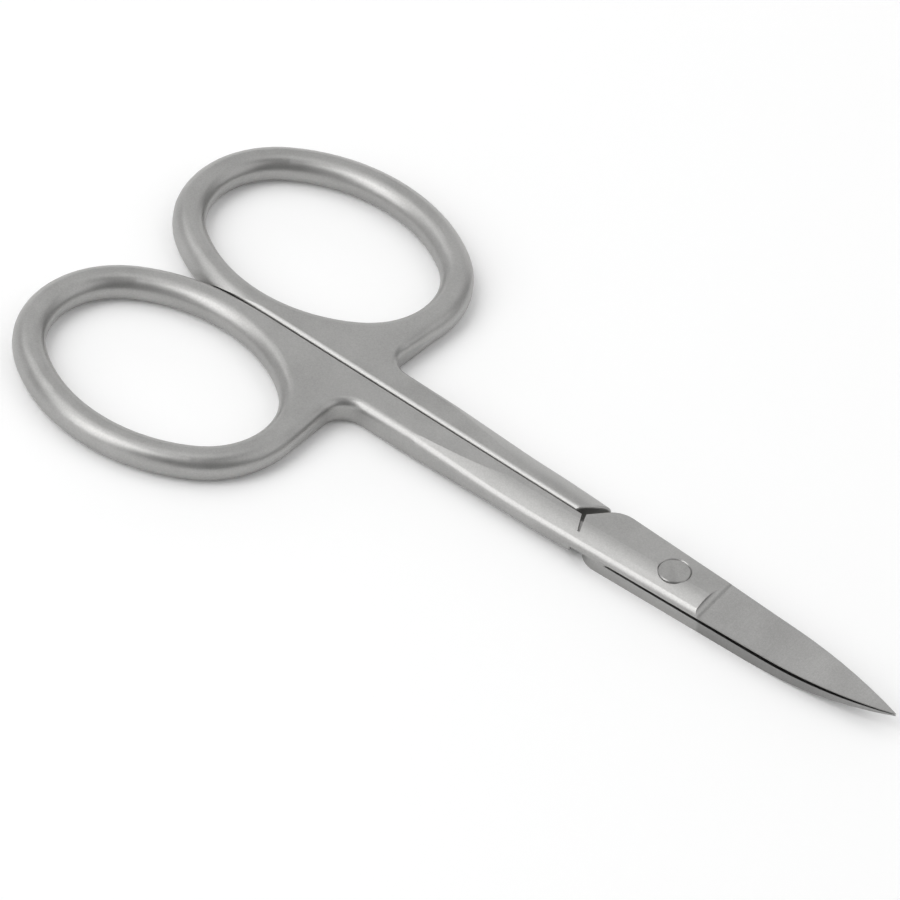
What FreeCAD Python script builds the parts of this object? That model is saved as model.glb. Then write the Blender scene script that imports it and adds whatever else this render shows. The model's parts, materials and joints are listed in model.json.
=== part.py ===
import FreeCAD, Part
import math
import os

import Sketcher
from FreeCAD import Placement, Rotation, Vector

# Cuticle scissors: two forged halves and the screw that joins them.
# +X runs to the tips, +Z is up, and the origin lies under the middle of the closed scissors.

# Driving sizes in millimetres and degrees
SIZES = {
    "overall_length": 90.0,
    "thickness": 2.8,
    "hole_length": 23.2,
    "hole_width": 17.5,
    "hole_end_share": 0.84,
    "ring_bar": 3.05,
    "ring_tilt": 1.5,
    "ring_overlap": 0.4,
    "ring_round_share": 0.46,
    "shank_round_share": 0.31,
    "tip_round": 0.1,
    "parting_gap": 0.2,
    "soft_round": 0.48,
    "crisp_round": 0.12,
    "lead_angle": 6.0,
    "web_angle": 3.0,
    "notch_radius": 2.2,
    "shank_width": 3.34,
    "bend_reach": 2.5,
    "bend_width": 3.2,
    "side_blend": 120.0,
    "crown_share": 0.78,
    "crown_radius": 5.3,
    "crown_angle": 25.0,
    "crown_entry_angle": 4.0,
    "crown_exit_angle": 80.0,
    "crown_clear": 0.2,
    "edge_width": 2.4,
    "ricasso_width": 2.78,
    "spine_width": 2.25,
    "nose_reach": 13.0,
    "belly_reach": 9.0,
    "belly_share": 0.77,
    "blade_reach": 25.3,
    "bevel_reach": 20.4,
    "shoulder_reach": 10.36,
    "shoulder_angle": 52.0,
    "shoulder_round": 2.6,
    "lap_gap": 1.0,
    "lap_lean": 2.2,
    "lap_round": 0.2,
    "ride_gap": 0.04,
    "ride_angle": 48.0,
    "dish_angle": 200.0,
    "blade_hollow": 0.5,
    "tip_gap": 0.07,
    "curve_start": 10.5,
    "tip_rise": 0.85,
    "bevel_angle": 12.3,
    "edge_thickness": 0.12,
    "wheel_radius": 0.8,
    "slot_length": 2.1,
    "slot_width": 0.52,
    "slot_angle": 61.0,
    "slot_depth": 0.9,
    "screw_diameter": 3.0,
    "screw_clearance": 0.04,
    "thread_clearance": 0.02,
    "screw_recess": 0.04,
    "screw_chamfer": 0.08,
    "head_diameter": 4.2,
    "head_height": 0.6,
    "driver_width": 0.6,
    "driver_depth": 0.3,
}

# Cutting profiles reach this far past the part
MARGIN = 1.5
BEYOND = 12.0

# Cuts that meet overlap by this much
OVERLAP = 0.5

# Points closer than this are the same, and a bend below this counts as smooth
SAME_PLACE = 1e-3
SMOOTH_BEND = 1e-6

doc = FreeCAD.newDocument("cuticle_scissors")
sheet = doc.addObject("Spreadsheet::Sheet", "Sizes")
for row, (alias, amount) in enumerate(SIZES.items(), start=1):
    sheet.set(f"A{row}", alias)
    sheet.set(f"B{row}", str(amount))
    sheet.setAlias(f"B{row}", alias)
doc.recompute()


def number(expression):
    found = sheet.evalExpression(expression)
    return float(getattr(found, "Value", found))


def cell(alias):
    return f"Sizes.{alias}"


# Sizes that follow from the driving ones, as expressions over the sheet
HALF_LENGTH = f"({cell('overall_length')} / 2)"
MID = f"({cell('thickness')} / 2)"
PARTING = f"({cell('parting_gap')} / 2)"
HOLE_B = f"({cell('hole_width')} / 2)"
END_RADIUS = f"({cell('hole_end_share')} * {HOLE_B})"
END_OFFSET = f"({cell('hole_length')} / 2 - {END_RADIUS})"
SIDE_RADIUS = f"(({END_OFFSET}^2 + {HOLE_B}^2 - {END_RADIUS}^2) / (2 * ({HOLE_B} - {END_RADIUS})))"
TILT = f"({cell('ring_tilt')} * 1deg)"
RING_FRONT = f"({END_RADIUS} + {cell('ring_bar')} + {END_OFFSET} * cos({TILT}))"
RING_X = f"({RING_FRONT} - {HALF_LENGTH})"
RING_Y = f"({HOLE_B} + {cell('ring_bar')} - {cell('ring_overlap')})"
PIVOT_X = f"({HALF_LENGTH} - {cell('blade_reach')})"
SHOULDER_X = f"({PIVOT_X} - {cell('shoulder_reach')})"
LAP_X = f"({SHOULDER_X} - {cell('lap_gap')})"
BEND_X = f"({LAP_X} - {cell('bend_reach')})"
BEVEL_X = f"({HALF_LENGTH} - {cell('bevel_reach')})"
BELLY_X = f"({HALF_LENGTH} - {cell('belly_reach')})"
NOSE_X = f"({HALF_LENGTH} - {cell('nose_reach')})"
SCREW_RADIUS = f"({cell('screw_diameter')} / 2)"
RING_ROUND = f"({cell('ring_round_share')} * min({cell('thickness')}; {cell('ring_bar')}))"
SHANK_ROUND = f"({cell('shank_round_share')} * {cell('thickness')})"
ROOT_X = f"({RING_X} + {RING_FRONT})"
SHANK_SLOPE = f"(({cell('bend_width')} - {cell('shank_width')}) / ({BEND_X} - {ROOT_X}))"
CROWN_LEAD = f"({cell('crown_share')} * ({BEND_X} - {ROOT_X}))"
CROWN_X = f"({ROOT_X} + {CROWN_LEAD})"
CROWN_WIDTH = f"({cell('shank_width')} + {SHANK_SLOPE} * {CROWN_LEAD})"
CROWN_ANGLE = f"({cell('crown_angle')} * 1deg)"
CROWN_RISE = f"({cell('crown_radius')} * (1 - cos({cell('crown_entry_angle')} * 1deg)))"
CROWN_REACH = (f"(({cell('crown_radius')} - {SHANK_ROUND}) * sin({CROWN_ANGLE})"
               f" + {SHANK_ROUND} * sin({cell('crown_exit_angle')} * 1deg))")
CROWN_FADE = f"(({cell('crown_radius')} - {SHANK_ROUND}) * (1 - cos({CROWN_ANGLE})) + {cell('crown_clear')})"
FADE_LENGTH = f"({CROWN_LEAD} - {cell('notch_radius')})"


def at(x, y, side=1):
    """Point in a sketch plane; side -1 mirrors it to the other half."""
    return Vector(x, y * side, 0)


def turned(heading):
    return Vector(-heading.y, heading.x, 0)


def toward(degrees, side=1):
    angle = math.radians(degrees)
    return Vector(math.cos(angle), math.sin(angle) * side, 0)


def circle_point(centre, radius, angle, side=1):
    return at(centre.x + radius * math.cos(angle), centre.y + radius * math.sin(angle), side)


def round_arc(centre, radius, first, last, side):
    """Start, middle and end of an arc given by two angles."""
    angles = (first, (first + last) / 2, last)
    return tuple(circle_point(centre, radius, angle, side) for angle in angles)


def leaving_arc(start, heading, through, stop_x):
    """Arc that leaves start along heading, runs through a point and stops at stop_x."""
    across = turned(heading)
    chord = through - start
    radius = chord.dot(chord) / (2 * across.dot(chord))
    centre = start + across * radius
    rise = math.sqrt(radius**2 - (stop_x - centre.x)**2)
    end = Vector(stop_x, centre.y - math.copysign(rise, radius), 0)
    middle = centre + ((start - centre) + (end - centre)).normalize() * abs(radius)
    return start, middle, end


def crossing(one, one_heading, two, two_heading):
    """Where two straight lines meet."""
    share = (two - one).cross(two_heading).z / one_heading.cross(two_heading).z
    return one + one_heading * share


def corner_arc(corner, arriving, leaving, radius):
    """Arc that rounds a corner between two headings."""
    half_turn = arriving.getAngle(leaving) / 2
    trim = radius * math.tan(half_turn)
    inward = (leaving - arriving).normalize()
    middle = corner + inward * (radius / math.cos(half_turn) - radius)
    return corner - arriving * trim, middle, corner + leaving * trim


def chain_of(points):
    """Straight pieces that join the points in order."""
    return [(first, None, second) for first, second in zip(points, points[1:])]


def blade_side(rear_x, rear_width, front_width, side):
    """Straight side from behind the pivot to the nose, then the arc through the tip."""
    rear = at(number(rear_x), number(rear_width), side)
    bevel = at(number(BEVEL_X), number(front_width), side)
    heading = (bevel - rear).normalize()
    nose_start = rear + heading * ((number(NOSE_X) - rear.x) / heading.x)
    nose = leaving_arc(nose_start, heading, at(number(HALF_LENGTH), 0), number(HALF_LENGTH) + MARGIN)
    return rear, heading, nose


def outer_side(side):
    """Outer side of shank and ricasso, with a long blend where they meet, and the nose in front."""
    bend, ricasso_heading, nose = blade_side(BEND_X, cell("bend_width"), cell("edge_width"), side)
    root = at(number(ROOT_X), number(cell("shank_width")), side)
    heading = (bend - root).normalize()
    return root, heading, corner_arc(bend, heading, ricasso_heading, number(cell("side_blend"))), nose


def curve_of(piece):
    start, middle, end = piece
    if middle is None:
        return Part.LineSegment(start, end)
    circle = Part.ArcOfCircle(start, middle, end)
    spokes = [point - circle.Center for point in (start, end)]
    angles = [math.atan2(spoke.y, spoke.x) for spoke in spokes]
    if (middle - start).cross(end - middle).z < 0:
        angles.reverse()
    if angles[1] < angles[0]:
        angles[1] += 2 * math.pi
    return Part.ArcOfCircle(Part.Circle(circle.Center, Vector(0, 0, 1), circle.Radius), *angles)


def heading_of(piece, point):
    """Unit direction of travel at one end of a piece."""
    start, middle, end = piece
    if middle is None:
        return (end - start).normalize()
    spoke = point - Part.ArcOfCircle(start, middle, end).Center
    heading = turned(spoke).normalize()
    return heading if (middle - start).cross(end - middle).z > 0 else heading * -1


def add_sketch(body, name, role, offset=None, tilt=None, turn=None):
    """Sketch on one of the body's origin planes, moved and tilted or turned by expressions."""
    sketch = body.newObject("Sketcher::SketchObject", name)
    plane = [item for item in body.Origin.OriginFeatures if item.Role == role][0]
    sketch.AttachmentSupport = [(plane, "")]
    sketch.MapMode = "FlatFace"
    for angle, axis in ((tilt, Vector(1, 0, 0)), (turn, Vector(0, 1, 0))):
        if angle:
            sketch.AttachmentOffset = Placement(Vector(), Rotation(axis, number(angle)))
            sketch.setExpression("AttachmentOffset.Rotation.Angle", angle)
    for axis, expression in (offset or {}).items():
        sketch.setExpression(f"AttachmentOffset.Base.{axis}", expression)
    return sketch


def end_number(sketch, index, point):
    first = sketch.getPoint(index, 1).distanceToPoint(point)
    second = sketch.getPoint(index, 2).distanceToPoint(point)
    return 1 if first < second else 2


def draw(sketch, pieces, closed=True):
    """Lines and arcs in a loop or row, joined end to end and kept smooth where they are smooth."""
    indices = [sketch.addGeometry(curve_of(piece), False) for piece in pieces]
    joints = len(pieces) if closed else len(pieces) - 1
    for number_here, piece in enumerate(pieces[:joints]):
        number_next = (number_here + 1) % len(pieces)
        joint = piece[2]
        one, two = indices[number_here], indices[number_next]
        ends = (one, end_number(sketch, one, joint), two, end_number(sketch, two, joint))
        bend = heading_of(piece, joint).cross(heading_of(pieces[number_next], joint)).Length
        curved = piece[1] is not None or pieces[number_next][1] is not None
        kind = "Tangent" if curved and bend < SMOOTH_BEND else "Coincident"
        sketch.addConstraint(Sketcher.Constraint(kind, *ends))
    return indices


def bind(sketch, expression, kind, *places):
    """Dimension whose value comes from the sheet."""
    index = sketch.addConstraint(Sketcher.Constraint(kind, *places, number(expression)))
    sketch.setExpression(f"Constraints[{index}]", expression)


def pin(sketch, index, place, x=None, y=None):
    """Holds a point of the sketch at a distance from its origin."""
    if x:
        bind(sketch, x, "DistanceX", -1, 1, index, place)
    if y:
        bind(sketch, y, "DistanceY", -1, 1, index, place)


def pass_through(sketch, index, x, y):
    """Makes a curve run through a point that the sheet places."""
    point = sketch.addGeometry(Part.Point(at(number(x), number(y))), True)
    pin(sketch, point, 1, x, y)
    sketch.addConstraint(Sketcher.Constraint("PointOnObject", point, 1, index))


def add_pocket(body, name, sketch, upward=False, both=False, depth=None):
    pocket = body.newObject("PartDesign::Pocket", name)
    pocket.Profile = sketch
    pocket.Reversed = upward
    if both:
        pocket.SideType = "Symmetric"
    if depth:
        pocket.setExpression("Length", depth)
    else:
        pocket.Type = "ThroughAll"
    return pocket


def add_groove(body, name, sketch, angle="360"):
    groove = body.newObject("PartDesign::Groove", name)
    groove.Profile = sketch
    groove.ReferenceAxis = (sketch, ["V_Axis"])
    groove.Midplane = True
    groove.setExpression("Angle", angle)
    return groove


def add_crown(body, name, side, face, side_path):
    """Crowns one face of shank and ricasso and lets the crown run out in front of the ring."""
    height, turn = f"{MID} + {face} * {MID}", f"{side} * atan({SHANK_SLOPE})"
    place = {"x": CROWN_X, "y": height, "z": f"{-side} * {CROWN_WIDTH}"}
    fade_path = add_sketch(body, f"{name}_fade_path", "XZ_Plane", place, turn=turn)
    fade_end = at(-number(FADE_LENGTH), number(CROWN_FADE), face)
    run_in, fade_line = draw(fade_path, chain_of([at(OVERLAP, 0), at(0, 0), fade_end]), closed=False)
    pin(fade_path, run_in, 1, f"{OVERLAP}", "0")
    fade_path.addConstraint(Sketcher.Constraint("Coincident", run_in, 2, -1, 1))
    pin(fade_path, fade_line, 2, f"-{FADE_LENGTH}", f"{face} * {CROWN_FADE}")

    for path, path_name, ahead in ((side_path, "crown", 0), (fade_path, "crown_fade", OVERLAP)):
        along, across = f"{ahead} * cos(atan({SHANK_SLOPE}))", f"{ahead} * sin(atan({SHANK_SLOPE}))"
        place = {"x": f"{side} * ({CROWN_WIDTH} + {across})", "y": height, "z": f"{CROWN_X} + {along}"}
        profile = add_sketch(body, f"{name}_{path_name}", "YZ_Plane", place, turn=turn)
        draw_crown(profile, side, face)
        swept = body.newObject("PartDesign::SubtractivePipe", f"{name}_{path_name}_cut")
        swept.Profile = profile
        swept.Spine = path
        swept.Transition = "Right corner"


class Outline:
    """Points of one half's outer edge as seen from above."""

    def __init__(self, side):
        self.side = side
        self.tilt = math.radians(number(cell("ring_tilt")))
        self.centre = Vector(number(RING_X), number(RING_Y), 0)
        self.end_radius = number(END_RADIUS)
        self.side_radius = number(SIDE_RADIUS)
        self.reach = number(END_OFFSET)
        self.drop = self.side_radius - number(HOLE_B)
        self.meet = math.atan2(self.drop, self.reach)

    def ring_centre(self, along, across):
        cosine, sine = math.cos(self.tilt), math.sin(self.tilt)
        return self.centre + Vector(along * cosine - across * sine, along * sine + across * cosine, 0)

    def oval(self, offset, first, last):
        """Four tangent arcs around the ring from the first to the last angle."""
        centres = ((self.reach, 0), (0, -self.drop), (-self.reach, 0), (0, self.drop))
        radii = (self.end_radius, self.side_radius) * 2
        turns = (first, self.meet, math.pi - self.meet, math.pi + self.meet, last)
        arcs = []
        for place, radius, begin, finish in zip(centres, radii, turns, turns[1:]):
            angles = (begin + self.tilt, finish + self.tilt)
            arcs.append(round_arc(self.ring_centre(*place), radius + offset, *angles, self.side))
        return arcs


def bind_oval(sketch, arcs, offset, side):
    """Ties the four arcs of an oval to the ring's sizes."""
    front, outer, back, inner = arcs
    bind(sketch, f"{END_RADIUS} + {offset}", "Radius", front)
    bind(sketch, f"{SIDE_RADIUS} + {offset}", "Radius", outer)
    sketch.addConstraint(Sketcher.Constraint("Equal", front, back))
    sketch.addConstraint(Sketcher.Constraint("Equal", outer, inner))
    for arc, sign in ((front, "+"), (back, "-")):
        x = f"{RING_X} {sign} {END_OFFSET} * cos({TILT})"
        y = f"{side} * ({RING_Y} {sign} {END_OFFSET} * sin({TILT}))"
        pin(sketch, arc, 3, x, y)


def draw_blank(sketch, side):
    """Outer edge of ring, shank and blade, with the finger hole."""
    shape = Outline(side)
    slant, lead = number(cell("web_angle")), number(cell("lead_angle"))
    stop_x = number(HALF_LENGTH) + MARGIN

    # Ring, from the front round to where it leaves for the parting plane
    first = math.radians(-slant) - shape.tilt
    last = math.radians(270 - lead) - shape.tilt
    ring = shape.oval(number(cell("ring_bar")), first, last)
    web_top, lead_start = ring[0][0], ring[3][2]
    lead_end = lead_start + toward(-lead, side) * ((stop_x - lead_start.x) / math.cos(math.radians(lead)))

    shank_root, shank_heading, blend, nose = outer_side(side)

    # Fillet of the notch between ring and shank
    web_heading = toward(270 - slant, side)
    corner = crossing(web_top, web_heading, shank_root, shank_heading)
    notch = corner_arc(corner, web_heading, shank_heading, number(cell("notch_radius")))

    pieces = ring + [
        (lead_start, None, lead_end),
        (lead_end, None, nose[2]),
        nose[::-1],
        (nose[0], None, blend[2]),
        blend[::-1],
        (blend[0], None, notch[2]),
        notch[::-1],
        (notch[0], None, web_top),
    ]
    lines = draw(sketch, pieces)
    bind_oval(sketch, lines[0:4], cell("ring_bar"), side)
    lead_line, stop_line, nose_arc, ricasso_line, blend_arc, shank_line, notch_round, web_line = lines[4:]
    bind(sketch, f"{-side} * {cell('lead_angle')} * 1deg", "Angle", lead_line)
    bind(sketch, f"{side} * (90 - {cell('web_angle')}) * 1deg", "Angle", web_line)
    bind(sketch, cell("notch_radius"), "Radius", notch_round)
    bind(sketch, cell("side_blend"), "Radius", blend_arc)
    sketch.addConstraint(Sketcher.Constraint("Vertical", stop_line))
    pin(sketch, stop_line, 2, f"{HALF_LENGTH} + {MARGIN}")
    pin(sketch, ricasso_line, 1, NOSE_X)
    pass_through(sketch, ricasso_line, BEND_X, f"{side} * {cell('bend_width')}")
    pass_through(sketch, ricasso_line, BEVEL_X, f"{side} * {cell('edge_width')}")
    pass_through(sketch, shank_line, ROOT_X, f"{side} * {cell('shank_width')}")
    pass_through(sketch, shank_line, BEND_X, f"{side} * {cell('bend_width')}")
    pass_through(sketch, nose_arc, HALF_LENGTH, "0")

    hole = draw(sketch, shape.oval(0, -shape.meet, 2 * math.pi - shape.meet))
    bind_oval(sketch, hole, "0", side)
    return [notch[0], notch[2], blend[0], blend[2], nose[0]], nose[2]


def round_blank(name, blank, sharper, fading):
    """Rounds the forging: full at the ring, sharper along shank and ricasso, almost none at the tip."""
    ring_round, shank_round = number(RING_ROUND), number(SHANK_ROUND)
    tip_round = number(cell("tip_round"))
    stop_x = number(HALF_LENGTH) + MARGIN

    def radius_at(point):
        level_point = at(point.x, point.y)
        if level_point.distanceToPoint(fading) < SAME_PLACE:
            return tip_round
        near = any(level_point.distanceToPoint(spot) < SAME_PLACE for spot in sharper)
        return shank_round if near else ring_round

    rounds = []
    for index, edge in enumerate(blank.Shape.Edges, start=1):
        ends = [edge.valueAt(place) for place in (edge.FirstParameter, edge.LastParameter)]
        level = edge.BoundBox.ZLength < SAME_PLACE
        closing = all(abs(point.x - stop_x) < SAME_PLACE for point in ends)
        radii = [radius_at(point) for point in ends]
        # the web between ring and shank is left to blend from one radius to the other
        blending = set(radii) == {ring_round, shank_round}
        if level and not closing and not blending:
            rounds.append((index, *radii))
    rounded = doc.addObject("Part::Fillet", name)
    rounded.Base = blank
    rounded.Edges = rounds
    return rounded


def draw_parting(sketch, side, level):
    """Flat inner side of the handle: its edge is soft on the lap's face and crisp on the other."""
    gap, high = number(PARTING), number(cell("thickness"))
    faces = [cell("crisp_round"), cell("soft_round")]
    upper_round, lower_round = faces if level > 0 else faces[::-1]
    upper, lower = number(upper_round), number(lower_round)
    upper_bite, lower_bite = upper * (1 - math.sqrt(0.5)), lower * (1 - math.sqrt(0.5))
    pieces = [
        (at(gap, lower), None, at(gap, high - upper)),
        (at(gap, high - upper), at(gap + upper_bite, high - upper_bite), at(gap + upper, high)),
    ]
    pieces += chain_of([at(gap + upper, high), at(gap + upper, high + MARGIN), at(-BEYOND, high + MARGIN),
                        at(-BEYOND, -MARGIN), at(gap + lower, -MARGIN), at(gap + lower, 0)])
    pieces.append((at(gap + lower, 0), at(gap + lower_bite, lower_bite), at(gap, lower)))
    pieces = [tuple(point and Vector(point.x * side, point.y, 0) for point in piece) for piece in pieces]
    lines = draw(sketch, pieces)
    for arc, curve, height in ((lines[1], upper_round, f"{cell('thickness')} - {upper_round}"),
                               (lines[-1], lower_round, lower_round)):
        bind(sketch, curve, "Radius", arc)
        pin(sketch, arc, 3, f"{side} * ({PARTING} + {curve})", height)


def draw_crown(sketch, side, face):
    """What is taken off one face of shank and ricasso to crown it, seen along the shank."""
    crown, corner = number(cell("crown_radius")), number(SHANK_ROUND)
    steep, leave = number(cell("crown_angle")), number(cell("crown_exit_angle"))
    top = Vector(number(CROWN_REACH), number(CROWN_RISE), 0)
    big = top - Vector(0, crown, 0)
    small = big + toward(90 + steep) * (crown - corner)
    arcs = [[big + toward(90 + angle) * crown for angle in (0, steep / 2, steep)],
            [small + toward(90 + angle) * corner for angle in (steep, (steep + leave) / 2, leave)]]
    arcs[1][0] = arcs[0][2]
    end = arcs[1][2]
    outside = Vector(-MARGIN, end.y, 0)
    pieces = [tuple(arc) for arc in arcs]
    pieces += chain_of([end, outside, Vector(-MARGIN, MARGIN, 0), Vector(top.x, MARGIN, 0), top])
    pieces = [tuple(point and Vector(-side * point.x, face * point.y, 0) for point in piece)
              for piece in pieces]
    crown_arc, corner_round = draw(sketch, pieces)[:2]
    bind(sketch, cell("crown_radius"), "Radius", crown_arc)
    bind(sketch, SHANK_ROUND, "Radius", corner_round)
    centre_height = f"{face} * ({CROWN_RISE} - {cell('crown_radius')})"
    pin(sketch, crown_arc, 3, f"{-side} * {CROWN_REACH}", centre_height)


def draw_side_path(sketch, side):
    """Path along the outer side of shank and ricasso, from the full crown to the nose."""
    blend, nose = outer_side(side)[2:]
    start = at(number(CROWN_X), number(CROWN_WIDTH), side)
    pieces = [(start, None, blend[0]), blend, (blend[2], None, nose[0])]
    shank_line, blend_arc, ricasso_line = draw(sketch, pieces, closed=False)
    pin(sketch, shank_line, 1, CROWN_X, f"{side} * {CROWN_WIDTH}")
    pin(sketch, ricasso_line, 2, NOSE_X)
    bind(sketch, cell("side_blend"), "Radius", blend_arc)
    for line in (shank_line, ricasso_line):
        pass_through(sketch, line, BEND_X, f"{side} * {cell('bend_width')}")
    pass_through(sketch, ricasso_line, BEVEL_X, f"{side} * {cell('edge_width')}")


def draw_spine(sketch, side):
    """Shoulder, ricasso and spine: what is cut away on the far side of the blade."""
    far = -side
    start = at(number(SHOULDER_X), number(PARTING), side)
    slope = toward(number(cell("shoulder_angle")), far)
    ricasso, back, nose = blade_side(SHOULDER_X, cell("ricasso_width"), cell("spine_width"), far)
    corner = crossing(start, slope, ricasso, back)
    shoulder = corner_arc(corner, slope, back, number(cell("shoulder_round")))
    stop = at(number(HALF_LENGTH) + 2 * MARGIN, 0)
    behind = start.x - MARGIN
    pieces = [
        (start, None, shoulder[0]),
        shoulder,
        (shoulder[2], None, nose[0]),
        nose,
    ]
    pieces += chain_of([nose[2], stop, at(stop.x, BEYOND, far), at(behind, BEYOND, far),
                        at(behind, MARGIN, far), start])
    lines = draw(sketch, pieces)
    shoulder_line, shoulder_arc, ricasso_line, nose_arc = lines[0:4]
    pin(sketch, shoulder_line, 1, SHOULDER_X, f"{side} * {PARTING}")
    bind(sketch, f"{far} * {cell('shoulder_angle')} * 1deg", "Angle", shoulder_line)
    bind(sketch, cell("shoulder_round"), "Radius", shoulder_arc)
    pin(sketch, ricasso_line, 2, NOSE_X)
    pass_through(sketch, ricasso_line, SHOULDER_X, f"{far} * {cell('ricasso_width')}")
    pass_through(sketch, ricasso_line, BEVEL_X, f"{far} * {cell('spine_width')}")
    pass_through(sketch, nose_arc, HALF_LENGTH, "0")


def draw_lap(sketch, side):
    """Plan of the step where the other half's ricasso lies."""
    inner = at(number(LAP_X), number(PARTING), side)
    outer = at(number(LAP_X) + number(cell("lap_lean")), number(cell("bend_width")), side)
    run_out = outer + (outer - inner)
    stop_x = number(PIVOT_X)
    corners = [inner, run_out, at(stop_x, run_out.y), at(stop_x, BEYOND, -side), at(inner.x, BEYOND, -side)]
    lines = draw(sketch, chain_of(corners + [inner]))
    pin(sketch, lines[0], 1, LAP_X, f"{side} * {PARTING}")
    pin(sketch, lines[2], 1, PIVOT_X)
    pass_through(sketch, lines[0], f"{LAP_X} + {cell('lap_lean')}", f"{side} * {cell('bend_width')}")


def dish_sizes(level):
    """Height of the inner face at the pivot, its rise to the tip and the radius of its curve."""
    base = f"({level} * {cell('blade_hollow')} / 2)"
    rise = f"({cell('tip_rise')} + {level} * {cell('tip_gap')} / 2 - {base})"
    run = f"({cell('blade_reach')} - {cell('curve_start')})"
    return base, rise, f"(({run}^2 + {rise}^2) / (2 * {rise}))"


def draw_dish(sketch, level):
    """Inner face of the blade as a profile turned about the pivot: hollow, then rising to the tip."""
    base, rise, radius = dish_sizes(level)
    stop_x = number(cell("blade_reach")) + MARGIN
    axis, start = at(0, number(base)), at(number(cell("curve_start")), number(base))
    tip = at(number(cell("blade_reach")), number(base) + number(rise))
    sweep = leaving_arc(start, Vector(1, 0, 0), tip, stop_x)
    clear = -level * BEYOND
    pieces = [(axis, None, start), sweep]
    pieces += chain_of([sweep[2], at(stop_x, clear), at(0, clear), axis])
    lines = draw(sketch, pieces)
    pin(sketch, lines[0], 1, "0", base)
    pin(sketch, lines[0], 2, cell("curve_start"), base)
    bind(sketch, radius, "Radius", lines[1])


def relief_corners(level):
    """Flat part of the hollow, which runs on behind the pivot on both sides of the riding face."""
    base = dish_sizes(level)[0]
    reach, clear = cell("shoulder_reach"), f"{-level * BEYOND}"
    return [("0", base), (reach, base), (reach, clear), ("0", clear)]


def draw_bevel(sketch, level):
    """Ground outer face of the blade, with the wheel's run-out at the ricasso."""
    base, rise, radius = dish_sizes(level)
    lean = f"cos({cell('bevel_angle')} * 1deg)"
    slope = f"tan({cell('bevel_angle')} * 1deg)"
    reach = f"({cell('blade_reach')} - {cell('belly_reach')} - {cell('curve_start')})"
    belly_rise = f"({radius} - sqrt({radius}^2 - {reach}^2))"
    thick = f"({cell('edge_thickness')} + {slope} * {cell('edge_width')})"
    belly_thick = f"({cell('edge_thickness')} + {slope} * {cell('edge_width')} * {cell('belly_share')})"
    start_y = f"(({base} + {level} * {thick}) * {lean})"
    belly_y = f"(({base} + {belly_rise} + {level} * {belly_thick}) * {lean})"
    tip_y = f"(({base} + {rise} + {level} * {cell('edge_thickness')}) * {lean})"
    start, belly = at(number(BEVEL_X), number(start_y)), at(number(BELLY_X), number(belly_y))
    face = Part.ArcOfCircle(start, belly, at(number(HALF_LENGTH), number(tip_y)))
    stop_x = number(HALF_LENGTH) + MARGIN
    bow = math.copysign(1, face.Center.y - start.y)
    stop = at(stop_x, face.Center.y - bow * math.sqrt(face.Radius**2 - (stop_x - face.Center.x)**2))

    wheel_radius = number(cell("wheel_radius"))
    wheel = start + (face.Center - start).normalize() * (bow * level * wheel_radius)
    exit_point = at(wheel.x - wheel_radius, wheel.y)
    spokes = (start - wheel) + (exit_point - wheel)
    clear = level * BEYOND
    pieces = [
        (exit_point, wheel + spokes.normalize() * wheel_radius, start),
        (start, belly, stop),
    ]
    pieces += chain_of([stop, at(stop_x, clear), at(exit_point.x, clear), exit_point])
    lines = draw(sketch, pieces)
    bind(sketch, cell("wheel_radius"), "Radius", lines[0])
    pin(sketch, lines[1], end_number(sketch, lines[1], start), BEVEL_X, start_y)
    pass_through(sketch, lines[1], BELLY_X, belly_y)
    pass_through(sketch, lines[1], HALF_LENGTH, tip_y)


def slot_corners(side):
    """Narrow tapering slot behind the ricasso."""
    reach_x = f"({SHOULDER_X} + {cell('slot_length')} * cos({cell('slot_angle')} * 1deg))"
    reach_y = f"{side} * ({PARTING} + {cell('slot_length')} * sin({cell('slot_angle')} * 1deg))"
    mouth_y = f"{side} * ({PARTING} - {cell('slot_width')})"
    return [(f"{SHOULDER_X} - {cell('slot_width')}", mouth_y), (SHOULDER_X, mouth_y),
            (reach_x, reach_y), (f"{reach_x} - {cell('slot_width')} / 2", reach_y)]


def soften_lap(body, name, side, level):
    """Rounds the end of the shank where the other half's ricasso begins."""
    outer_z = number(MID) * (1 - level)
    inner = at(number(LAP_X), number(PARTING), side)
    outer = at(number(LAP_X) + number(cell("lap_lean")), number(cell("bend_width")), side)
    across = turned(outer - inner).normalize()

    def on_lap_end(edge):
        spots = [vertex.Point for vertex in edge.Vertexes]
        aside = [abs(across.dot(at(spot.x, spot.y) - inner)) for spot in spots]
        upright = edge.BoundBox.XLength < SAME_PLACE
        above = [abs(spot.z - outer_z) for spot in spots]
        return max(aside) < SAME_PLACE and not upright and min(above) < number(MID) / 2

    base = body.Tip
    names = [f"Edge{index}" for index, edge in enumerate(base.Shape.Edges, start=1) if on_lap_end(edge)]
    fillet = body.newObject("PartDesign::Fillet", name)
    fillet.Base = (base, names)
    fillet.setExpression("Radius", cell("lap_round"))


def draw_profile(sketch, corners):
    """Closed straight-sided profile whose corners all come from the sheet."""
    points = [at(number(x), number(y)) for x, y in corners]
    lines = draw(sketch, chain_of(points + points[:1]))
    for line, (x, y) in zip(lines, corners):
        pin(sketch, line, 1, x, y)


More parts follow.
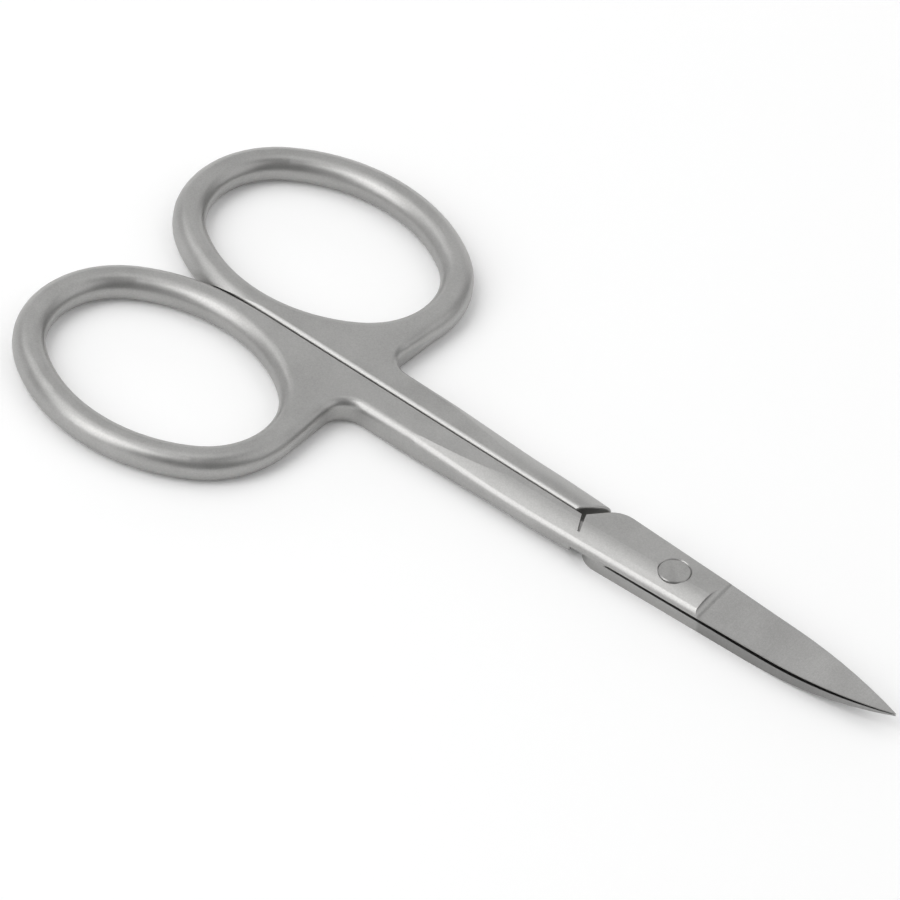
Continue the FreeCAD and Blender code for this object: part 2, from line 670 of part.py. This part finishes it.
def bore_corners(level):
    """Tapped hole in the upper half, running hole with the head's seat in the lower one."""
    if level > 0:
        tapped = f"({SCREW_RADIUS} + {cell('thread_clearance')})"
        mouth = f"({tapped} + {cell('screw_chamfer')})"
        return [("0", f"-{BEYOND}"), (tapped, f"-{BEYOND}"),
                (tapped, f"{MID} - {cell('screw_chamfer')}"), (mouth, MID),
                (mouth, f"{BEYOND}"), ("0", f"{BEYOND}")]
    running = f"({SCREW_RADIUS} + {cell('screw_clearance')})"
    seat = f"({cell('head_diameter')} / 2 + {cell('screw_clearance')})"
    return [("0", f"-{BEYOND}"), (seat, f"-{BEYOND}"), (seat, f"-{MID}"),
            (running, f"{cell('head_height')} - {MID}"), (running, f"{BEYOND}"), ("0", f"{BEYOND}")]


def build_half(name, side, level):
    """One half: side +1 has its ring at +Y, level +1 has its blade on top."""
    blank = doc.addObject("PartDesign::Body", f"{name}_blank")
    plan = add_sketch(blank, f"{name}_plan", "XY_Plane")
    sharper, fading = draw_blank(plan, side)
    pad = blank.newObject("PartDesign::Pad", f"{name}_pad")
    pad.Profile = plan
    pad.Refine = False
    pad.setExpression("Length", cell("thickness"))
    doc.recompute()
    rounded = round_blank(f"{name}_rounded", blank, sharper, fading)
    doc.recompute()

    body = doc.addObject("PartDesign::Body", name)
    body.BaseFeature = rounded
    at_pivot = {"x": PIVOT_X, "y": MID}

    parting = add_sketch(body, f"{name}_parting", "YZ_Plane", {"z": SHOULDER_X})
    draw_parting(parting, side, level)
    add_pocket(body, f"{name}_parting_cut", parting)

    side_path = add_sketch(body, f"{name}_side_path", "XY_Plane", {"z": MID})
    draw_side_path(side_path, side)
    for face, face_name in ((1, "top"), (-1, "bottom")):
        add_crown(body, f"{name}_{face_name}", side, face, side_path)

    spine = add_sketch(body, f"{name}_spine", "XY_Plane")
    draw_spine(spine, side)
    add_pocket(body, f"{name}_spine_cut", spine, both=True)

    lap = add_sketch(body, f"{name}_lap", "XY_Plane", {"z": f"{MID} + {level} * {cell('ride_gap')} / 2"})
    draw_lap(lap, side)
    add_pocket(body, f"{name}_lap_cut", lap, upward=level < 0)

    dish = add_sketch(body, f"{name}_dish", "XZ_Plane", at_pivot)
    draw_dish(dish, level)
    add_groove(body, f"{name}_dish_cut", dish, cell("dish_angle"))

    relief = add_sketch(body, f"{name}_relief", "XZ_Plane", at_pivot)
    draw_profile(relief, relief_corners(level))
    add_groove(body, f"{name}_relief_cut", relief, f"360 - {cell('ride_angle')}")

    slot = add_sketch(body, f"{name}_slot", "XY_Plane", {"z": f"{MID} + {level} * {MID}"})
    draw_profile(slot, slot_corners(side))
    add_pocket(body, f"{name}_slot_cut", slot, upward=level < 0, depth=cell("slot_depth"))

    bevel = add_sketch(body, f"{name}_bevel", "XZ_Plane", {"y": MID}, f"{cell('bevel_angle')} * 1deg")
    draw_bevel(bevel, level)
    add_pocket(body, f"{name}_bevel_cut", bevel, both=True)

    bore = add_sketch(body, f"{name}_bore", "XZ_Plane", at_pivot)
    draw_profile(bore, bore_corners(level))
    add_groove(body, f"{name}_bore_cut", bore)
    doc.recompute()
    soften_lap(body, f"{name}_lap_soft", side, level)
    return body


def build_screw(name):
    """Pivot screw: slotted head below, plain bearing, end flush with the upper face."""
    body = doc.addObject("PartDesign::Body", name)
    at_pivot = {"x": PIVOT_X, "y": MID}
    taper = f"(({cell('head_diameter')} / 2 - {SCREW_RADIUS}) / {cell('head_height')})"
    face = f"({cell('screw_recess')} - {MID})"
    rim = f"({cell('head_diameter')} / 2 - {taper} * {cell('screw_recess')})"
    corners = [("0", face), (rim, face), (SCREW_RADIUS, f"{cell('head_height')} - {MID}"),
               (SCREW_RADIUS, f"{MID} - {cell('screw_chamfer')}"),
               (f"{SCREW_RADIUS} - {cell('screw_chamfer')}", MID), ("0", MID)]
    profile = add_sketch(body, f"{name}_profile", "XZ_Plane", at_pivot)
    draw_profile(profile, corners)
    turned_body = body.newObject("PartDesign::Revolution", f"{name}_turned")
    turned_body.Profile = profile
    turned_body.ReferenceAxis = (profile, ["V_Axis"])
    turned_body.setExpression("Angle", "360")

    half_width, half_length = f"({cell('driver_width')} / 2)", cell("head_diameter")
    driver = add_sketch(body, f"{name}_driver", "XY_Plane", {"x": PIVOT_X, "z": cell("screw_recess")})
    draw_profile(driver, [(f"-{half_width}", f"-{half_length}"), (half_width, f"-{half_length}"),
                          (half_width, half_length), (f"-{half_width}", half_length)])
    add_pocket(body, f"{name}_driver_cut", driver, upward=True, depth=cell("driver_depth"))
    return body


parts = [
    build_half("lower_half", side=1, level=-1),
    build_half("upper_half", side=-1, level=1),
    build_screw("pivot_screw"),
]
doc.recompute()

for item in doc.Objects:
    if {"Invalid", "Error"} & set(item.State):
        raise RuntimeError(f"{item.Name}: {item.State}")
os.makedirs("parts", exist_ok=True)
for part in parts:
    if part.Shape.isNull() or not part.Shape.isValid() or len(part.Shape.Solids) != 1:
        raise RuntimeError(f"{part.Label} is not one valid solid")
    part.Shape.exportStep(f"parts/{part.Label}.step")
    print(part.Label, round(part.Shape.Volume, 2), part.Shape.BoundBox)
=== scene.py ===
import json
import math

import bpy
from mathutils import Matrix, Vector


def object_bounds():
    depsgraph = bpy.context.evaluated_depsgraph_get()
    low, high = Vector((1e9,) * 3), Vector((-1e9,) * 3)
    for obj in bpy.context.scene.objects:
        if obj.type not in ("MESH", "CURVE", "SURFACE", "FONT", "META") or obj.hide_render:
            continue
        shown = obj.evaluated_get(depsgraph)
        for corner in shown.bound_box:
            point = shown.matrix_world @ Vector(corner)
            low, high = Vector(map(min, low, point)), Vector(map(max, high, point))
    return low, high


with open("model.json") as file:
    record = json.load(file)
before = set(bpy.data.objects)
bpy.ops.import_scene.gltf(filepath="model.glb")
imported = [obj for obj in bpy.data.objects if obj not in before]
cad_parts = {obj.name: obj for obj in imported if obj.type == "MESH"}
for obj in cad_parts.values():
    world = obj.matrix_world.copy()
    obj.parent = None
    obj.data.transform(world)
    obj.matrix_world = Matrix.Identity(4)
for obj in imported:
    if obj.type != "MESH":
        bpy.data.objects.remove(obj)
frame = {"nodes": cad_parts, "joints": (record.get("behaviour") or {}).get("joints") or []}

cadBox = [list(corner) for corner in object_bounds()]
nodes = frame["nodes"]
pivotX = frame["joints"][0]["pos_m"][0]
scene = bpy.context.scene
print("frame loaded:", ", ".join(sorted(nodes)))


# lengths are in metres; directions are given as azimuth and elevation in degrees, azimuth from +X towards +Y

def direction(azimuth, elevation):
    az, el = math.radians(azimuth), math.radians(elevation)
    return Vector((math.cos(az) * math.cos(el), math.sin(az) * math.cos(el), math.sin(el)))


# node helpers: an input is a plain value or another node's output

def addNode(tree, kind, **settings):
    node = tree.nodes.new(kind)
    inputs = settings.pop("inputs", {})
    for name, value in settings.items():
        setattr(node, name, value)
    for socket, value in inputs.items():
        if isinstance(value, bpy.types.NodeSocket):
            tree.links.new(value, node.inputs[socket])
        else:
            node.inputs[socket].default_value = value
    return node


def calculate(tree, operation, first, second, **settings):
    inputs = {0: first, 1: second}
    return addNode(tree, "ShaderNodeMath", operation=operation, inputs=inputs, **settings).outputs[0]


def remap(tree, value, fromRange, toRange=(0.0, 1.0)):
    limits = dict(zip(("From Min", "From Max", "To Min", "To Max"), (*fromRange, *toRange)))
    return addNode(tree, "ShaderNodeMapRange", inputs={"Value": value, **limits}).outputs[0]


def newGroup(name, inputs, outputs):
    tree = bpy.data.node_groups.new(name, "ShaderNodeTree")
    for way, socketNames in (("INPUT", inputs), ("OUTPUT", outputs)):
        for socketName in socketNames:
            tree.interface.new_socket(name=socketName, in_out=way, socket_type="NodeSocketFloat")
    return tree, tree.nodes.new("NodeGroupInput"), tree.nodes.new("NodeGroupOutput")


def newMaterial(name):
    material = bpy.data.materials.new(name)
    material.use_nodes = True
    return material, material.node_tree, material.node_tree.nodes["Principled BSDF"]


# satin grain: fine tumbled speckle with a slow cloudy change, which all the steel has

satinNoise = {
    "Speckle": {"Detail": 2.0, "Roughness": 0.55},
    "Cloud": {"Detail": 3.0, "Roughness": 0.55},
}


def makeSatinGrain():
    tree, given, result = newGroup("satinGrain", ["Speckle Size", "Cloud Size", "Seed"], list(satinNoise))
    place = addNode(tree, "ShaderNodeTexCoord")
    for output, noiseLook in satinNoise.items():
        scale = calculate(tree, "DIVIDE", 1.0, given.outputs[output + " Size"])
        noise = addNode(tree, "ShaderNodeTexNoise", noise_dimensions="4D",
                        inputs={"Vector": place.outputs["Object"], "W": given.outputs["Seed"],
                                "Scale": scale, **noiseLook})
        tree.links.new(noise.outputs["Fac"], result.inputs[output])
    return tree


satinGrain = makeSatinGrain()


# grinding lines: fine scratches that run across the blade, and where along it they begin

lineNoise = {"Scale": 1.0, "Detail": 2.0, "Roughness": 0.6}
lineStretch = {"X": "Line Width", "Y": "Line Length", "Z": "Line Length"}  # a line's size along each axis


def makeGrindingLines():
    tree, given, result = newGroup(
        "grindingLines", ["Line Width", "Line Length", "Start", "Run In"], ["Lines", "Ground"])
    place = addNode(tree, "ShaderNodeTexCoord")
    axes = addNode(tree, "ShaderNodeSeparateXYZ", inputs={0: place.outputs["Object"]})
    scaled = {axis: calculate(tree, "DIVIDE", axes.outputs[axis], given.outputs[size])
              for axis, size in lineStretch.items()}
    stretched = addNode(tree, "ShaderNodeCombineXYZ", inputs=scaled)
    noise = addNode(tree, "ShaderNodeTexNoise", inputs={"Vector": stretched.outputs[0], **lineNoise})
    tree.links.new(noise.outputs["Fac"], result.inputs["Lines"])
    past = calculate(tree, "SUBTRACT", axes.outputs["X"], given.outputs["Start"])
    share = calculate(tree, "DIVIDE", past, given.outputs["Run In"], use_clamp=True)
    tree.links.new(share, result.inputs["Ground"])
    return tree


grindingLines = makeGrindingLines()
print("shared finishes ready")


# forged halves: satin all over, the blades ground darker with fine lines across them

forgedSteel = {
    "baseColor": (0.40, 0.397, 0.39),
    "colourSpread": 0.12,
    "roughness": 0.40,
    "roughnessSpread": 0.10,
    "speckleSize": 0.00013,
    "cloudSize": 0.005,
    "bumpHeight": 0.0000026,
    "blade": {
        "pastPivot": 0.0045,  # where the wheel ran in, along +X
        "runIn": 0.0003,
        "shade": 0.74,
        "roughness": 0.35,
        "lineWidth": 0.00005,
        "lineLength": 0.005,
        "lineSpread": 0.035,
    },
}

# pivot screw: a little darker, cut off and left with a rougher, uneven end

screwSteel = {
    "baseColor": (0.375, 0.372, 0.365),
    "colourSpread": 0.14,
    "roughness": 0.42,
    "roughnessSpread": 0.2,
    "speckleSize": 0.00011,
    "cloudSize": 0.0009,
    "bumpHeight": 0.000005,
}

# a noise value mostly lies in the first span, and the sum of two in the second
noiseSpan = (0.3, 0.7)
doubleNoiseSpan = (0.7, 1.3)


def spreadAbout(value, spread):
    return value * (1 - spread), value * (1 + spread)


def grindBlade(tree, look, colour, finish):
    ground = addNode(tree, "ShaderNodeGroup", node_tree=grindingLines,
                     inputs={"Line Width": look["lineWidth"], "Line Length": look["lineLength"],
                             "Start": pivotX + look["pastPivot"], "Run In": look["runIn"]})
    shadeRange = spreadAbout(look["shade"], look["lineSpread"])
    lines = remap(tree, ground.outputs["Lines"], noiseSpan, shadeRange)
    darker = addNode(tree, "ShaderNodeMix", data_type="FLOAT",
                     inputs={"Factor": ground.outputs["Ground"], "A": 1.0, "B": lines})
    shaded = addNode(tree, "ShaderNodeVectorMath", operation="SCALE",
                     inputs={0: colour, "Scale": darker.outputs["Result"]})
    smoother = addNode(tree, "ShaderNodeMix", data_type="FLOAT",
                       inputs={"Factor": ground.outputs["Ground"], "A": finish, "B": look["roughness"]})
    return shaded.outputs[0], smoother.outputs["Result"]


def makeSteel(name, look, seed):
    material, tree, shader = newMaterial(name)
    shader.inputs["Metallic"].default_value = 1.0
    grain = addNode(tree, "ShaderNodeGroup", node_tree=satinGrain,
                    inputs={"Speckle Size": look["speckleSize"], "Cloud Size": look["cloudSize"],
                            "Seed": seed})
    both = calculate(tree, "ADD", grain.outputs["Speckle"], grain.outputs["Cloud"])
    shades = [spreadAbout(channel, look["colourSpread"]) for channel in look["baseColor"]]
    dark, light = ([*channels, 1.0] for channels in zip(*shades))
    tint = addNode(tree, "ShaderNodeMix", data_type="RGBA",
                   inputs={"Factor": remap(tree, both, doubleNoiseSpan), "A": dark, "B": light})
    colour = tint.outputs["Result"]
    finishRange = spreadAbout(look["roughness"], look["roughnessSpread"])
    finish = remap(tree, grain.outputs["Cloud"], noiseSpan, finishRange)
    if "blade" in look:
        colour, finish = grindBlade(tree, look["blade"], colour, finish)
    tree.links.new(colour, shader.inputs["Base Color"])
    tree.links.new(finish, shader.inputs["Roughness"])
    bump = addNode(tree, "ShaderNodeBump",
                   inputs={"Height": grain.outputs["Speckle"], "Distance": look["bumpHeight"],
                           "Strength": 1.0})
    tree.links.new(bump.outputs["Normal"], shader.inputs["Normal"])
    return material


finishes = {"lower_half": forgedSteel, "upper_half": forgedSteel, "pivot_screw": screwSteel}
for seed, (nodeName, look) in enumerate(finishes.items()):
    mesh = nodes[nodeName].data
    mesh.materials.clear()
    mesh.materials.append(makeSteel(nodeName + "Steel", look, float(seed)))
print("steel finishes on the halves and the screw")


# floor: pale paper with a faint mottle

floorLook = {
    "size": 6.0,
    "colour": (0.97, 0.97, 0.97, 1.0),
    "roughness": 0.9,
    "specular": 0.0,
    "mottle": 0.01,  # the share of light that the darker spots lose
    "mottleScale": 40.0,
    "mottleDetail": 3.0,
    "whiten": 0.055,  # light added where the paper itself is seen
}


def makeFloor(look):
    half = look["size"] / 2
    corners = [(-half, -half, 0), (half, -half, 0), (half, half, 0), (-half, half, 0)]
    mesh = bpy.data.meshes.new("floor")
    mesh.from_pydata(corners, [], [(0, 1, 2, 3)])
    floor = bpy.data.objects.new("floor", mesh)
    scene.collection.objects.link(floor)
    material, tree, shader = newMaterial("floorPaper")
    shader.inputs["Roughness"].default_value = look["roughness"]
    shader.inputs["Specular IOR Level"].default_value = look["specular"]
    noise = addNode(tree, "ShaderNodeTexNoise",
                    inputs={"Scale": look["mottleScale"], "Detail": look["mottleDetail"]})
    dark = [channel * (1 - look["mottle"]) for channel in look["colour"][:3]] + [1.0]
    tint = addNode(tree, "ShaderNodeMix", data_type="RGBA",
                   inputs={"Factor": noise.outputs["Fac"], "A": dark, "B": look["colour"]})
    tree.links.new(tint.outputs["Result"], shader.inputs["Base Color"])

    # the paper is lifted to white for what looks at it, and keeps its shadow
    ray = addNode(tree, "ShaderNodeLightPath")
    seen = ray.outputs["Is Camera Ray"]
    for kind in ("Is Glossy Ray", "Is Transmission Ray"):
        seen = calculate(tree, "MAXIMUM", seen, ray.outputs[kind])
    lift = calculate(tree, "MULTIPLY", seen, look["whiten"])
    glow = addNode(tree, "ShaderNodeEmission", inputs={"Color": look["colour"], "Strength": lift})
    paper = addNode(tree, "ShaderNodeAddShader", inputs={0: shader.outputs[0], 1: glow.outputs[0]})
    tree.links.new(paper.outputs[0], tree.nodes["Material Output"].inputs["Surface"])
    mesh.materials.append(material)


makeFloor(floorLook)


# studio light: each lamp is a rectangular panel that faces the middle of the scissors

lamps = {
    "keyPanel": {"azimuth": -118, "elevation": 46, "distance": 0.9,
                 "width": 0.5, "height": 0.95, "radiance": 2.6},
    "leftPanel": {"azimuth": -170, "elevation": 58, "distance": 1.0,
                  "width": 0.8, "height": 0.9, "radiance": 0.8},
    "topPanel": {"azimuth": 125, "elevation": 57, "distance": 1.0,
                 "width": 1.3, "height": 0.95, "radiance": 0.57},
    "rightPanel": {"azimuth": 28, "elevation": 40, "distance": 1.0,
                   "width": 0.9, "height": 1.0, "radiance": 0.75},
    "backPanel": {"azimuth": 120, "elevation": 12, "distance": 1.0,
                  "width": 1.4, "height": 0.4, "radiance": 0.95},
    "sidePanel": {"azimuth": 180, "elevation": 10, "distance": 1.0,
                  "width": 1.0, "height": 0.4, "radiance": 0.6},
    "lowPanel": {"azimuth": -106, "elevation": 8, "distance": 1.0,
                 "width": 1.5, "height": 0.25, "radiance": 0.7},
}
worldLight = {"colour": (1.0, 1.0, 1.0, 1.0), "strength": 0.29}
aim = Vector((0.0, 0.0, cadBox[1][2] / 2))


def makeLamp(name, look):
    lamp = bpy.data.lights.new(name, "AREA")
    lamp.shape = "RECTANGLE"
    lamp.size, lamp.size_y = look["width"], look["height"]
    lamp.energy = look["radiance"] * math.pi * look["width"] * look["height"]  # watts
    holder = bpy.data.objects.new(name, lamp)
    out = direction(look["azimuth"], look["elevation"])
    turn = out.to_track_quat("Z", "Y").to_matrix().to_4x4()
    holder.matrix_world = Matrix.Translation(aim + out * look["distance"]) @ turn
    scene.collection.objects.link(holder)


def makeWorld(look):
    world = bpy.data.worlds.new("studio")
    world.use_nodes = True
    background = world.node_tree.nodes["Background"]
    background.inputs["Color"].default_value = look["colour"]
    background.inputs["Strength"].default_value = look["strength"]
    scene.world = world


for lampName, lampLook in lamps.items():
    makeLamp(lampName, lampLook)
makeWorld(worldLight)
print("floor and lamps placed")


# camera at the photograph's viewing angle

cameraLook = {
    "place": (0.6186143, -0.9214374, 1.0312724),
    "azimuth": 34.13085,  # turned about +Z from a view along +Y
    "elevation": 42.80027,
    "roll": 7.48579,
    "focalPixels": 16886.95,
    "imagePixels": 900,
    "sensor": 36.0,
    "clipStart": 0.05,
    "clipEnd": 20.0,
}


def makeCamera(look):
    camera = bpy.data.cameras.new("camera")
    camera.sensor_fit = "HORIZONTAL"
    camera.sensor_width = look["sensor"]
    camera.lens = look["focalPixels"] / look["imagePixels"] * look["sensor"]
    camera.clip_start, camera.clip_end = look["clipStart"], look["clipEnd"]
    back = direction(look["azimuth"] - 90, look["elevation"])  # towards -Y for a level view along +Y
    level = Vector((0, 0, 1)).cross(back).normalized()
    upright = back.cross(level)
    roll = math.radians(look["roll"])
    across = level * math.cos(roll) + upright * math.sin(roll)
    above = upright * math.cos(roll) - level * math.sin(roll)
    turn = Matrix((across, above, back)).transposed().to_4x4()
    holder = bpy.data.objects.new("camera", camera)
    holder.matrix_world = Matrix.Translation(Vector(look["place"])) @ turn
    scene.collection.objects.link(holder)
    scene.camera = holder


makeCamera(cameraLook)
scene.view_settings.view_transform = "Standard"
print("camera placed")

print("scene ready")
